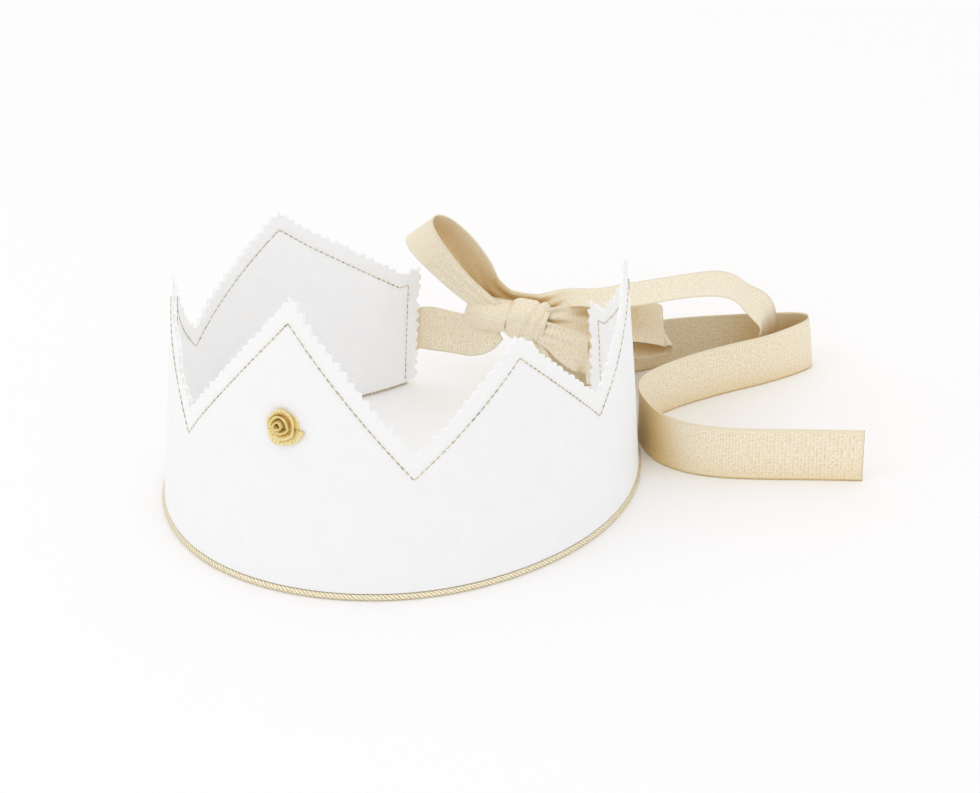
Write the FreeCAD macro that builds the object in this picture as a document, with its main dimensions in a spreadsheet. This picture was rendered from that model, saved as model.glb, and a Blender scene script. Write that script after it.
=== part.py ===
"""Fabric party crown: a stiffened cloth band with five points, piping, a rolled rose and two ribbon ties.

Frame: millimetres, +Z up, origin on the floor inside the band, a named distance behind its front centre,
with the rose towards -Y. Places on the band are measured along its base line from the front centre,
positive to the right as seen from the front, and up the cloth from the floor.
"""
import FreeCAD, Part
import math
import os

from FreeCAD import Placement, Vector

os.makedirs("parts", exist_ok=True)
doc = FreeCAD.newDocument("fabric_crown")

# Driving dimensions, in millimetres and degrees
SIZES = {
    # the base line of the band: bends one after another, from the front centre to each end
    "front_distance": 77.0,
    "left_front_radius": 71.0,
    "left_front_length": 46.0,
    "left_side_radius": 92.0,
    "left_side_length": 55.5,
    "left_back_radius": 67.0,
    "left_back_length": 78.0,
    "left_flare_radius": 106.0,
    "right_front_radius": 74.3,
    "right_front_length": 64.7,
    "right_side_radius": 106.0,
    "right_side_length": 122.7,
    "right_curl_radius": 44.0,
    "lean_angle": 4.0,
    # the stitch line: points and valleys, with the left valley's place as the start
    "left_valley_place": -216.0,
    "left_end_point_width": 93.0,
    "left_point_width": 75.0,
    "centre_point_width": 93.0,
    "right_point_width": 83.0,
    "right_end_point_width": 84.0,
    "left_end_tip_shift": 2.0,
    "left_tip_shift": 0.0,
    "centre_tip_shift": 3.0,
    "right_tip_shift": 0.0,
    "right_end_tip_shift": 1.5,
    "valley_height": 42.5,
    "end_point_height": 76.0,
    "side_point_height": 77.5,
    "centre_point_height": 95.5,
    "end_flat": 4.0,
    "seam_margin": 6.0,
    "pinking_pitch": 4.0,
    "pinking_depth": 1.5,
    # cloth layers
    "cloth_thickness": 0.7,
    "interlining_thickness": 0.6,
    "layer_gap": 0.1,
    "interlining_inset": 0.8,
    "interlining_end_gap": 1.0,
    # base piping
    "piping_radius": 1.2,
    "piping_flat": 0.15,
    "piping_outset": 0.6,
    "flange_height": 6.0,
    "flange_thickness": 0.4,
    "lining_hem_height": 1.4,
    # ribbon rose
    "rose_height": 59.0,
    "rose_radius": 6.0,
    "rose_depth": 4.2,
    "rose_turns": 3.2,
    "rose_fold_thickness": 0.6,
    "rose_heart_radius": 0.9,
    "rose_back_thickness": 1.2,
    "rose_clearance": 0.4,
    # ribbon
    "ribbon_width": 20.0,
    "ribbon_thickness": 0.5,
    "ribbon_tuck": 8.0,
    "ribbon_exit_height": 22.0,
    "ribbon_exit_width": 17.5,
    "ribbon_exit_run": 2.0,
    "ribbon_floor_gap": 0.1,
    # the bow's neck, where the ribbons are tied, from the middle between the band's ends
    "neck_side": -8.4,
    "neck_behind": 3.2,
    "neck_height": 32.5,
    "bundle_left": -7.0,
    "bundle_length": 15.0,
    "bundle_half_depth": 5.6,
    "bundle_half_height": 7.0,
    "wrap_gap": 1.2,
    "wrap_length": 16.0,
    "wrap_half_depth": 6.0,
    "wrap_half_height": 7.8,
    "core_half_depth": 1.8,
    "core_half_height": 5.4,
    "core_setback": 2.2,
    "core_clearance": 0.3,
    # where the long tail passes the crown's right side
    "tail_rest_place": 191.5,
    "tail_gap": 4.1,
}
sheet = doc.addObject("Spreadsheet::Sheet", "sizes")
for row, (alias, value) in enumerate(SIZES.items(), start=1):
    sheet.set(f"A{row}", alias)
    sheet.set(f"B{row}", str(value))
    sheet.setAlias(f"B{row}", alias)
doc.recompute()


def size(alias):
    """Return one driving dimension from the sheet."""
    return float(sheet.get(alias))


LEAN = math.radians(size("lean_angle"))
UP = Vector(0, 0, 1)


# The band's base line

def base_place(along):
    """Return the base line's x, y and heading at a distance along the band from the front centre."""
    unlimited = float("inf")
    if along >= 0:
        sign = 1
        stretches = (
            (size("right_front_length"), size("right_front_radius")),
            (size("right_side_length"), size("right_side_radius")),
            (unlimited, size("right_curl_radius")),
        )
    else:
        sign = -1
        stretches = (
            (size("left_front_length"), size("left_front_radius")),
            (size("left_side_length"), size("left_side_radius")),
            (size("left_back_length"), size("left_back_radius")),
            (unlimited, -size("left_flare_radius")),
        )
    x, y, heading = 0.0, -size("front_distance"), 0.0
    left = abs(along)
    for length, bend in stretches:
        step = min(left, length)
        turned = heading + sign * step / bend
        x += bend * (math.sin(turned) - math.sin(heading))
        y += bend * (math.cos(heading) - math.cos(turned))
        heading = turned
        left -= step
    return x, y, heading


def inward_at(along):
    """Return the horizontal direction from the wall to the inside of the crown."""
    heading = base_place(along)[2]
    return Vector(-math.sin(heading), math.cos(heading), 0)


def wall_point(along, height, inset=0.0):
    """Return a point of the leaning wall: a place along it, a height up the cloth, an inset inwards."""
    x, y, _ = base_place(along)
    shift = height * math.sin(LEAN) + inset
    return Vector(x, y, height * math.cos(LEAN)) + inward_at(along) * shift


# The flat pattern

def stitch_line():
    """Return the stitch line's corners from the left end to the right end, as (along, height)."""
    widths = ("left_end_point_width", "left_point_width", "centre_point_width",
              "right_point_width", "right_end_point_width")
    heights = ("end_point_height", "side_point_height", "centre_point_height",
               "side_point_height", "end_point_height")
    shifts = ("left_end_tip_shift", "left_tip_shift", "centre_tip_shift",
              "right_tip_shift", "right_end_tip_shift")
    along = size("left_valley_place")
    valley = size("valley_height")
    corners = [(along - size("end_flat"), 0.0), (along - size("end_flat"), valley), (along, valley)]
    for width, height, shift in zip(widths, heights, shifts):
        corners.append((along + size(width) / 2 + size(shift), size(height)))
        along += size(width)
        corners.append((along, valley))
    corners += [(along + size("end_flat"), valley), (along + size("end_flat"), 0.0)]
    return corners


def offset_line(corners, distance):
    """Return the line moved outwards, up and away from the cloth, with mitred corners."""
    sides = []
    for (a0, h0), (a1, h1) in zip(corners, corners[1:]):
        length = math.hypot(a1 - a0, h1 - h0)
        sides.append(((-(h1 - h0) / length, (a1 - a0) / length), (a0, h0)))
    first_normal, first = sides[0]
    moved = [(first[0] + first_normal[0] * distance, first[1])]
    for (n0, _), (n1, corner) in zip(sides, sides[1:]):
        share = distance / (1 + n0[0] * n1[0] + n0[1] * n1[1])
        moved.append((corner[0] + (n0[0] + n1[0]) * share, corner[1] + (n0[1] + n1[1]) * share))
    last_normal = sides[-1][0]
    moved.append((corners[-1][0] + last_normal[0] * distance, corners[-1][1]))
    return moved


def pinked(start, end):
    """Return the teeth that pinking shears leave between two corners, start included, end left out."""
    length = math.hypot(end[0] - start[0], end[1] - start[1])
    teeth = max(1, round(length / size("pinking_pitch")))
    normal = (-(end[1] - start[1]) / length, (end[0] - start[0]) / length)
    points = []
    for step in range(2 * teeth):
        share = step / (2 * teeth)
        bite = -size("pinking_depth") if step % 2 else 0.0
        points.append((start[0] + (end[0] - start[0]) * share + normal[0] * bite,
                       start[1] + (end[1] - start[1]) * share + normal[1] * bite))
    return points


def plain(start, _end):
    """Return a straight edge's start, for a layer that isn't pinked."""
    return [start]


# Solids of the band

BAND_TOP = size("centre_point_height") + 3 * size("seam_margin")
SPARE = size("seam_margin") / 2
BELOW = -2 * size("piping_radius")
LINE = stitch_line()
LEFT_END = LINE[0][0] - size("seam_margin")
RIGHT_END = LINE[-1][0] + size("seam_margin")
LEFT_SIDE = -size("left_front_length")
LEFT_BACK = LEFT_SIDE - size("left_side_length")
LEFT_FLARE = LEFT_BACK - size("left_back_length")
RIGHT_SIDE = size("right_front_length")
RIGHT_CURL = RIGHT_SIDE + size("right_side_length")
BENDS = (LEFT_END - SPARE, LEFT_FLARE, LEFT_BACK, LEFT_SIDE, 0.0, RIGHT_SIDE, RIGHT_CURL, RIGHT_END + SPARE)


def arcs(height, inset, places):
    """Return the edges of the wall's level line at one height and inset, one arc for each bend."""
    edges = []
    for start, end in zip(places, places[1:]):
        points = [wall_point(along, height, inset) for along in (start, (start + end) / 2, end)]
        edges.append(Part.Arc(*points).toShape())
    return edges


def band_section(name, height, outer, inner, places=BENDS):
    """Add the closed level section of a layer between two insets, and return its object."""
    near = arcs(height, outer, places)
    far = arcs(height, inner, places[::-1])
    right = Part.makeLine(near[-1].lastVertex().Point, far[0].firstVertex().Point)
    left = Part.makeLine(far[-1].lastVertex().Point, near[0].firstVertex().Point)
    section = doc.addObject("Part::Feature", name)
    section.Shape = Part.Wire(near + [right] + far + [left])
    return section


def band_layer(name, foot, top, outer, inner, places=BENDS):
    """Add a leaning layer of cloth between two heights and two insets."""
    layer = doc.addObject("Part::Loft", name)
    layer.Sections = [band_section(name + "_foot", foot, outer, inner, places),
                      band_section(name + "_head", top, outer, inner, places)]
    layer.Solid = True
    layer.Ruled = True
    return layer


def cut_tool(name, middle, outline):
    """Add the waste above an outline as a prism through the wall, square to it at the middle place."""
    across = inward_at(middle)
    plane_point = wall_point(middle, 0)
    reach = size("left_back_radius") / 2
    points = []
    for along, height in outline:
        point = wall_point(along, height)
        point -= across * (point - plane_point).dot(across)
        points.append(point - across * reach)
    face = doc.addObject("Part::Feature", name + "_outline")
    face.Shape = Part.Face(Part.makePolygon(points + [points[0]]))
    tool = doc.addObject("Part::Extrusion", name)
    tool.Base = face
    tool.DirMode = "Custom"
    tool.Dir = across
    tool.LengthFwd = 2 * reach
    tool.Solid = True
    return tool


def waste_tools(name, margin, edge):
    """Add the waste outside a margin of the stitch line: one prism for each valley and each end."""
    line = offset_line(LINE, margin)
    line[0] = (line[0][0], 2 * BELOW)
    line[-1] = (line[-1][0], 2 * BELOW)
    lap = size("seam_margin")
    above = BAND_TOP + lap
    points_at = [0, 3, 5, 7, 9, 11, len(line) - 1]
    tools = []
    for number, (first, last) in enumerate(zip(points_at, points_at[1:])):
        outline = []
        for start, end in zip(line[first:last], line[first + 1:last + 1]):
            outline += edge(start, end)
        outline.append(line[last])
        left, right = outline[0], outline[-1]
        if first == 0:
            middle = line[2][0]
            lead = [(left[0] - lap, above), (left[0] - lap, left[1])]
            tail = [(right[0] + lap, right[1] + lap / 4), (right[0] + lap, above)]
        elif last == len(line) - 1:
            middle = line[-3][0]
            lead = [(left[0] - lap, above), (left[0] - lap, left[1] + lap / 4)]
            tail = [(right[0] + lap, right[1]), (right[0] + lap, above)]
        else:
            middle = line[first + 1][0]
            lead = [(left[0] - lap, above), (left[0] - lap, left[1] + lap / 4)]
            tail = [(right[0] + lap, right[1] + lap / 4), (right[0] + lap, above)]
        tools.append(cut_tool(f"{name}_{number}", middle, lead + outline + tail))
    waste = doc.addObject("Part::MultiFuse", name)
    waste.Shapes = tools
    return waste


def trimmed(label, layer, waste):
    """Cut the waste away from a layer and name the finished piece."""
    piece = doc.addObject("Part::Cut", label)
    piece.Base = layer
    piece.Tool = waste
    piece.Label = label
    return piece


HALF_CORE = size("interlining_thickness") / 2
FACE = HALF_CORE + size("layer_gap")
BACK = FACE + size("cloth_thickness")
PIPING_Z = size("piping_radius") - size("piping_flat")
PIPING_TOP = PIPING_Z + size("piping_radius")

pinked_waste = waste_tools("pinked_waste", size("seam_margin"), pinked)
outer_layer = band_layer("outer_layer", PIPING_TOP + size("layer_gap"), BAND_TOP, -BACK, -FACE)
outer_panel = trimmed("outer_panel", outer_layer, pinked_waste)
lining_layer = band_layer("lining_layer", size("lining_hem_height"), BAND_TOP, FACE, BACK)
lining_panel = trimmed("lining_panel", lining_layer, pinked_waste)

FLANGE_TOP = PIPING_TOP + size("flange_height")
plain_waste = waste_tools("plain_waste", -size("interlining_inset"), plain)
TUCK = size("ribbon_tuck")
clear_of_ribbon = TUCK + size("interlining_end_gap")
stiff_places = (LEFT_END + clear_of_ribbon,) + BENDS[1:-1] + (RIGHT_END - clear_of_ribbon,)
stiff_layer = band_layer("stiff_layer", FLANGE_TOP + size("layer_gap"), BAND_TOP, -HALF_CORE, HALF_CORE,
                         stiff_places)
interlining = trimmed("interlining", stiff_layer, plain_waste)

# Base piping: a covered cord with its flange between the layers
piping_places = (LEFT_END + size("seam_margin") / 2,) + BENDS[1:-1] + (RIGHT_END - size("seam_margin") / 2,)
piping_path = doc.addObject("Part::Feature", "piping_path")
piping_path.Shape = Part.Wire(arcs(0, -size("piping_outset"), piping_places))
piping_path.Placement = Placement(Vector(0, 0, PIPING_Z), FreeCAD.Rotation())
piping_round = doc.addObject("Part::Circle", "piping_round")
piping_round.setExpression("Radius", "sizes.piping_radius")
path_start = wall_point(piping_places[0], 0, -size("piping_outset")) + UP * PIPING_Z
start_heading = base_place(piping_places[0])[2]
start_direction = Vector(math.cos(start_heading), math.sin(start_heading), 0)
piping_round.Placement = Placement(path_start, FreeCAD.Rotation(UP, start_direction))
piping_cord = doc.addObject("Part::Sweep", "piping_cord")
piping_cord.Sections = [piping_round]
piping_cord.Spine = (piping_path, [f"Edge{number + 1}" for number in range(len(piping_places) - 1)])
piping_cord.Solid = True
piping_cord.Frenet = True
floor_block = doc.addObject("Part::Box", "floor_block")
floor_block.setExpression("Length", "4 * sizes.front_distance")
floor_block.setExpression("Width", "4 * sizes.front_distance")
floor_block.setExpression("Height", "sizes.front_distance")
floor_block.Placement = Placement(
    Vector(-2 * size("front_distance"), -2 * size("front_distance"), -size("front_distance")),
    FreeCAD.Rotation())
flat_cord = doc.addObject("Part::Cut", "flat_cord")
flat_cord.Base = piping_cord
flat_cord.Tool = floor_block
HALF_FLANGE = size("flange_thickness") / 2
flange = band_layer("flange", PIPING_Z, FLANGE_TOP, -HALF_FLANGE, HALF_FLANGE, piping_places)
base_piping = doc.addObject("Part::MultiFuse", "base_piping")
base_piping.Shapes = [flat_cord, flange]
base_piping.Label = "base_piping"


# Ribbons and the rose: strips that follow a smooth line, lofted between rectangular sections

def smooth(stations, steps):
    """Return values on a Catmull-Rom curve through the stations, a few steps for each span."""
    padded = [stations[0]] + list(stations) + [stations[-1]]
    values = []
    for a, b, c, d in zip(padded, padded[1:], padded[2:], padded[3:]):
        for step in range(steps):
            s = step / steps
            values.append([
                0.5 * (2 * q + (r - p) * s + (2 * p - 5 * q + 4 * r - t) * s * s
                       + (3 * q - p - 3 * r + t) * s ** 3)
                for p, q, r, t in zip(a, b, c, d)])
    values.append(list(stations[-1]))
    return values


def strip(rows, thickness):
    """Return a strip as a solid. Each row is a centre, a direction across the strip, and a width."""
    centres = [Vector(*row[0:3]) for row in rows]
    sections = []
    for number, row in enumerate(rows):
        before = centres[max(number - 1, 0)]
        after = centres[min(number + 1, len(rows) - 1)]
        forward = (after - before).normalize()
        across = Vector(*row[3:6])
        across = (across - forward * across.dot(forward)).normalize()
        through = forward.cross(across) * (thickness / 2)
        across = across * (row[6] / 2)
        centre = centres[number]
        corners = [centre - across - through, centre + across - through,
                   centre + across + through, centre - across + through]
        sections.append(Part.makePolygon(corners + [corners[0]]))
    return Part.makeLoft(sections, True, True)


def bar(name, start, length, half_depth, half_height):
    """Add an elliptical bar along X from a point, for ribbon pressed together in the bow's neck."""
    section = doc.addObject("Part::Ellipse", name + "_section")
    section.MajorRadius = half_height
    section.MinorRadius = half_depth
    upright = FreeCAD.Rotation(Vector(0, 0, 1), Vector(0, 1, 0), Vector(-1, 0, 0), "ZXY")
    section.Placement = Placement(start, upright)
    solid = doc.addObject("Part::Extrusion", name)
    solid.Base = section
    solid.DirMode = "Custom"
    solid.Dir = Vector(1, 0, 0)
    solid.LengthFwd = length
    solid.Solid = True
    return solid


def piece_from(label, shape):
    """Add a finished piece from a shape made here."""
    piece = doc.addObject("Part::Feature", label)
    piece.Shape = shape
    piece.Label = label
    return piece


# Rolled ribbon rose, stitched to the front below the centre point

ROSE_STEPS = 12
ROSE_SEAT = wall_point(0, size("rose_height"), -BACK - size("rose_clearance"))
ROSE_OUT = Vector(0, -math.cos(LEAN), math.sin(LEAN))


def rose_rows():
    """Return the spiral of the rolled ribbon, its folds opening outwards like petals."""
    side = Vector(1, 0, 0)
    rise = side.cross(ROSE_OUT)
    heart = size("rose_heart_radius")
    growth = size("rose_radius") - size("rose_fold_thickness") - heart
    foot = ROSE_SEAT + ROSE_OUT * (size("rose_back_thickness") / 2)
    rows = []
    count = round(size("rose_turns") * ROSE_STEPS)
    for step in range(count + 1):
        share = step / count
        angle = 2 * math.pi * size("rose_turns") * share
        radial = side * math.cos(angle) + rise * math.sin(angle)
        depth = (size("rose_depth") - size("rose_back_thickness") / 2) * (1 - 0.4 * share * share)
        across = ROSE_OUT + radial * 0.3 * share
        centre = foot + radial * (heart + growth * share) + across * (depth / 2)
        rows.append([centre.x, centre.y, centre.z, across.x, across.y, across.z, depth])
    return rows


rose_back = doc.addObject("Part::Cylinder", "rose_back")
rose_back.setExpression("Radius", "sizes.rose_radius - sizes.rose_fold_thickness")
rose_back.setExpression("Height", "sizes.rose_back_thickness")
rose_back.Placement = Placement(ROSE_SEAT, FreeCAD.Rotation(UP, ROSE_OUT))
rose_roll = piece_from("rose_roll", strip(rose_rows(), size("rose_fold_thickness")))
rosette = doc.addObject("Part::Fuse", "rosette")
rosette.Base = rose_back
rosette.Tool = rose_roll
rosette.Label = "rosette"

# The bow's neck: the left ribbon's bundle and core, and the right ribbon's wrap around that core

EXIT_RUN = size("ribbon_exit_run")
LEFT_EXIT = wall_point(LEFT_END - EXIT_RUN, size("ribbon_exit_height"))
RIGHT_EXIT = wall_point(RIGHT_END + EXIT_RUN, size("ribbon_exit_height"))
between = (LEFT_EXIT + RIGHT_EXIT) / 2
NECK = Vector(between.x + size("neck_side"), between.y + size("neck_behind"), size("neck_height"))
BUNDLE_START = NECK + Vector(size("bundle_left"), 0, 0)
WRAP_START = BUNDLE_START + Vector(size("bundle_length") + size("wrap_gap"), 0, 0)
CORE_START = BUNDLE_START + Vector(0, size("core_setback"), 0)
CORE_LENGTH = size("bundle_length") + size("wrap_length") + 2 * size("wrap_gap")

bundle = bar("bundle", BUNDLE_START, size("bundle_length"), size("bundle_half_depth"),
             size("bundle_half_height"))
core = bar("core", CORE_START, CORE_LENGTH, size("core_half_depth"), size("core_half_height"))
wrap = bar("wrap", WRAP_START, size("wrap_length"), size("wrap_half_depth"), size("wrap_half_height"))
core_room = bar("core_room", CORE_START, CORE_LENGTH, size("core_half_depth") + size("core_clearance"),
                size("core_half_height") + size("core_clearance"))
open_wrap = doc.addObject("Part::Cut", "open_wrap")
open_wrap.Base = wrap
open_wrap.Tool = core_room

WIDE = size("ribbon_width")
EXIT = size("ribbon_exit_width") / WIDE
TAIL_REST = wall_point(size("tail_rest_place"), 0, -size("tail_gap"))


def tucked(along_places):
    """Return ribbon stations that follow the wall's middle, from the tuck between the layers outwards."""
    rows = []
    for along in along_places:
        point = wall_point(along, size("ribbon_exit_height"))
        rise = UP * math.cos(LEAN) + inward_at(along) * math.sin(LEAN)
        rows.append([point.x, point.y, point.z, rise.x, rise.y, rise.z, EXIT])
    return rows


def between_ends(start, end, rows):
    """Return stations from a band end to the neck. Each row starts: share of the way, set back, lift."""
    stations = []
    for share, back, lift, *rest in rows:
        point = start + (end - start) * share
        stations.append([point.x, point.y + back, point.z + lift] + rest)
    return stations


def at_neck(rows):
    """Return stations whose centres are given from the neck."""
    return [[NECK.x + x, NECK.y + y, NECK.z + z] + rest for x, y, z, *rest in rows]


def at_tail(rows):
    """Return stations whose centres are given from the place where the long tail passes the crown."""
    return [[TAIL_REST.x + x, TAIL_REST.y + y, z] + rest for x, y, z, *rest in rows]


def on_edge(points):
    """Return stations of ribbon standing on its edge. Each point: x, y from the tail's place, tilt."""
    middle = WIDE / 2 + size("ribbon_floor_gap")
    return at_tail([[x, y, middle, tilt, 0.0, 1.0, 1.0] for x, y, tilt in points])


STEPS = 5

# Left tie, from the left band end to the bundle. Each row: centre, direction across, share of the full width
left_tie = tucked((LEFT_END + TUCK, LEFT_END + TUCK / 2, LEFT_END, LEFT_END - EXIT_RUN)) + between_ends(
    LEFT_EXIT, NECK + Vector(4.5, -1.0, -5.0), [
        [0.158, 1.5, -1.1, 0.00, 0.05, 1.00, 0.875],
        [0.384, 1.9, -2.6, 0.00, 0.00, 1.00, 0.865],
        [0.627, 0.8, -3.4, 0.05, 0.00, 1.00, 0.825],
        [0.838, -0.3, -2.6, 0.15, 0.00, 1.00, 0.7],
        [1.000, 0.0, 0.0, 0.30, 0.00, 0.95, 0.5],
    ])
# Standing loop: up the near strand, over the top, down the far strand, then behind the wrap
standing_loop = at_neck([
    [6.0, -1.5, 0.5, 0.60, -0.20, 0.75, 0.45],
    [0.5, -3.4, 5.0, 0.66, -0.26, 0.70, 0.55],
    [-8.0, -5.0, 11.7, 0.70, -0.33, 0.63, 0.7],
    [-16.0, -6.1, 19.5, 0.71, -0.35, 0.61, 0.85],
    [-22.5, -5.7, 26.3, 0.71, -0.36, 0.61, 0.975],
    [-25.6, -3.4, 30.3, 0.71, -0.36, 0.61, 1.0],
    [-24.3, 0.2, 31.7, 0.71, -0.36, 0.61, 1.0],
    [-19.5, 2.9, 29.5, 0.71, -0.36, 0.61, 1.0],
    [-12.5, 4.3, 23.5, 0.71, -0.36, 0.61, 1.0],
    [-6.5, 4.8, 15.5, 0.68, -0.25, 0.68, 0.925],
    [-2.2, 5.4, 7.5, 0.50, -0.12, 0.85, 0.775],
    [5.5, 7.0, 1.7, 0.15, 0.00, 1.00, 0.65],
    [17.0, 7.8, 1.0, 0.00, 0.00, 1.00, 0.65],
])
# Short tail: from behind the wrap, turned flat, over an arch and down to the floor
short_tail = at_neck([
    [22.5, 8.2, 3.0, -0.05, 0.25, 0.97, 0.55],
    [28.0, 9.0, 7.7, -0.35, 0.85, 0.40, 0.5],
    [35.5, 9.4, 9.8, -0.50, 0.85, 0.10, 0.6],
    [45.0, 10.5, 9.5, -0.60, 0.80, 0.05, 0.85],
    [54.0, 16.5, 9.9, -0.66, 0.75, 0.00, 1.0],
    [64.4, 24.8, 10.7, -0.69, 0.72, 0.00, 1.0],
]) + at_tail([
    [3.1, 56.5, 42.6, -0.62, 0.78, 0.06, 1.0],
    [10.1, 65.5, 38.3, -0.37, 0.92, 0.13, 1.0],
    [14.9, 70.5, 32.2, -0.32, 0.93, 0.19, 1.0],
    [18.9, 76.0, 25.5, -0.05, 0.98, 0.15, 0.95],
    [19.6, 78.5, 17.0, 0.05, 0.99, 0.05, 0.975],
    [19.6, 79.3, 8.5, 0.05, 0.99, 0.00, 0.95],
    [19.6, 79.5, 0.6, 0.05, 0.99, 0.00, 0.95],
])
# Right tie, from the right band end into the wrap
right_tie = tucked((RIGHT_END - TUCK, RIGHT_END - TUCK / 2, RIGHT_END, RIGHT_END + EXIT_RUN)) + between_ends(
    RIGHT_EXIT, NECK + Vector(22.0, -4.0, -1.5), [
        [0.079, 3.1, 0.5, 0.00, 0.00, 1.00, 0.85],
        [0.339, 2.4, 0.5, 0.00, 0.00, 1.00, 0.775],
        [0.646, 1.0, 0.8, 0.00, 0.00, 1.00, 0.6],
        [1.000, 0.0, 0.0, 0.00, 0.00, 1.00, 0.45],
    ])
# Lying loop: out along the upper strand, round its end and back along the lower one
lying_loop = at_neck([
    [20.0, -2.6, 1.5, 0.00, 0.10, 1.00, 0.425],
    [27.0, -1.8, 1.9, -0.10, 0.20, 0.98, 0.525],
    [34.0, 2.4, 0.9, -0.25, 0.50, 0.83, 0.6],
    [42.0, 9.2, -0.3, -0.38, 0.68, 0.62, 0.75],
    [50.0, 17.8, -2.1, -0.43, 0.76, 0.49, 0.925],
    [56.5, 25.5, -4.9, -0.43, 0.76, 0.49, 1.0],
    [60.0, 29.5, -7.5, -0.43, 0.76, 0.49, 1.0],
    [58.8, 29.2, -10.1, -0.43, 0.76, 0.49, 1.0],
    [53.0, 24.0, -10.5, -0.43, 0.76, 0.49, 1.0],
    [45.5, 16.3, -8.9, -0.43, 0.76, 0.49, 0.9],
    [38.0, 8.2, -5.9, -0.38, 0.62, 0.68, 0.725],
    [30.8, 1.3, -3.8, -0.20, 0.30, 0.93, 0.5],
    [24.0, -1.7, -3.2, 0.00, 0.00, 1.00, 0.375],
])
# Long tail: down behind the loop onto its edge, out to a fold, back along the crown, round and out again
long_tail = at_neck([
    [20.0, -1.1, -4.0, 0.00, 0.00, 1.00, 0.25],
    [25.0, -2.6, -7.7, 0.00, 0.00, 1.00, 0.4],
    [28.5, -1.0, -13.7, 0.00, 0.00, 1.00, 0.5],
    [31.2, 3.5, -17.7, 0.00, 0.00, 1.00, 0.625],
    [34.5, 14.0, -20.5, 0.00, 0.00, 1.00, 0.9],
    [38.5, 25.0, -22.1, 0.00, 0.00, 1.00, 1.0],
]) + on_edge([
    (-27.4, 58.7, 0.00), (-18.4, 68.7, 0.00), (-6.4, 77.2, 0.00), (7.6, 85.5, 0.00),
    (18.6, 91.7, 0.00), (26.6, 95.3, -0.06), (31.6, 94.9, -0.10), (33.2, 90.2, -0.10),
    (29.6, 81.2, -0.06), (22.6, 69.2, 0.00), (12.1, 55.7, 0.00), (2.6, 41.7, 0.00), (-4.1, 28.7, 0.00),
    (-7.2, 18.2, 0.00), (-5.6, 8.7, 0.00), (-0.1, 0.1, 0.00), (8.4, -8.3, 0.00), (19.6, -12.3, 0.00),
    (32.6, -11.5, 0.00), (47.6, -6.7, 0.00), (64.6, 0.1, 0.00), (80.6, 6.2, 0.00),
])


def strand(stations):
    """Return one strand of ribbon through its stations."""
    rows = [row[:6] + [row[6] * WIDE] for row in smooth(stations, STEPS)]
    return strip(rows, size("ribbon_thickness"))


def ribbon(label, strands, neck):
    """Fuse a ribbon's strands with its share of the bow's neck."""
    doc.recompute()
    others = [strand(rows) for rows in strands[1:]] + [item.Shape for item in neck]
    return piece_from(label, strand(strands[0]).multiFuse(others))


left_ribbon_tie = ribbon("left_ribbon_tie", [left_tie, standing_loop + short_tail], [bundle, core])
right_ribbon_tie = ribbon("right_ribbon_tie", [right_tie, lying_loop, long_tail], [open_wrap])

# Rebuild, check and write each piece

doc.recompute()
PIECES = (outer_panel, lining_panel, interlining, base_piping, rosette, left_ribbon_tie, right_ribbon_tie)
for item in doc.Objects:
    if "Invalid" in item.State or "Error" in item.State:
        raise RuntimeError(f"{item.Label} failed: {item.State}")
for piece in PIECES:
    shape = piece.Shape
    if shape.isNull() or not shape.isValid() or not shape.Solids:
        raise RuntimeError(f"{piece.Label} has no valid solid")
    shape.exportStep(f"parts/{piece.Label}.step")
    print(piece.Label, len(shape.Solids), "solid", round(shape.Volume, 1), "mm3", len(shape.Faces), "faces")
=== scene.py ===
# %% [markdown]
# # A fabric party crown tied with a ribbon bow
# The crown is sewn, not folded: two layers of white canvas over a stiffener, cut with pinking shears,
# stitched in gold, with a gold cord in its bottom edge, a rolled ribbon rose, and a ribbon tie at each end.
# This lesson builds each visible piece over the solid model, which gives every size and place.

# %% Load the frame
import math

import bpy
from mathutils import Matrix, Vector, noise


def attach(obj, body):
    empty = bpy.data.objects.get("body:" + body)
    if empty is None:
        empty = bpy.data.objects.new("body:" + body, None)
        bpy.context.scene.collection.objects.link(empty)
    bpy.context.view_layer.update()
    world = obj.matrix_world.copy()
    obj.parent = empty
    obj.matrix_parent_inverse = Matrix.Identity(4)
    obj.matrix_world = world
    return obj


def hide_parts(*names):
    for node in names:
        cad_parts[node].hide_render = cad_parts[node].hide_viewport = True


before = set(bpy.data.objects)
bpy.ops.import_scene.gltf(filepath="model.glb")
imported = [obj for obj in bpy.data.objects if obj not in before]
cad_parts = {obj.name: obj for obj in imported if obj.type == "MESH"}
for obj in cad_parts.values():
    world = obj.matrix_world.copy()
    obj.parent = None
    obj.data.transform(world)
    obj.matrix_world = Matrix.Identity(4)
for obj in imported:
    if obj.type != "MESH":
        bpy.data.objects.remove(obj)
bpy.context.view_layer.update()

MM = 0.001

# %% [markdown]
# ## The camera
# The photograph was taken from a little above and to the right, with a long lens. The lens and place were
# worked out from the band's points and base line, so the render can be laid over the photograph.

# %% Camera
CAMERA_AT = Vector((417.8, -875.1, 498.9)) * MM
LOOK = Vector((-0.3568, 0.8295, -0.4296)).normalized()
LENS_MM = 113.08
bpy.ops.object.camera_add(location=CAMERA_AT)
camera = bpy.context.active_object
camera.rotation_euler = LOOK.to_track_quat("-Z", "Y").to_euler()
camera.data.sensor_width = 36
camera.data.lens = LENS_MM
camera.data.clip_start = 0.05
camera.data.clip_end = 20
bpy.context.scene.camera = camera

# %% [markdown]
# ## The band's line and pattern
# A sewn band is drawn flat first. The pattern has the distance along the band across it and the height up
# the cloth. One function then seats any pattern point on the standing, slightly leaning wall. The bends
# are those of the solid model: a round front, flatter sides, a curled right end and a flared left end.

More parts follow.
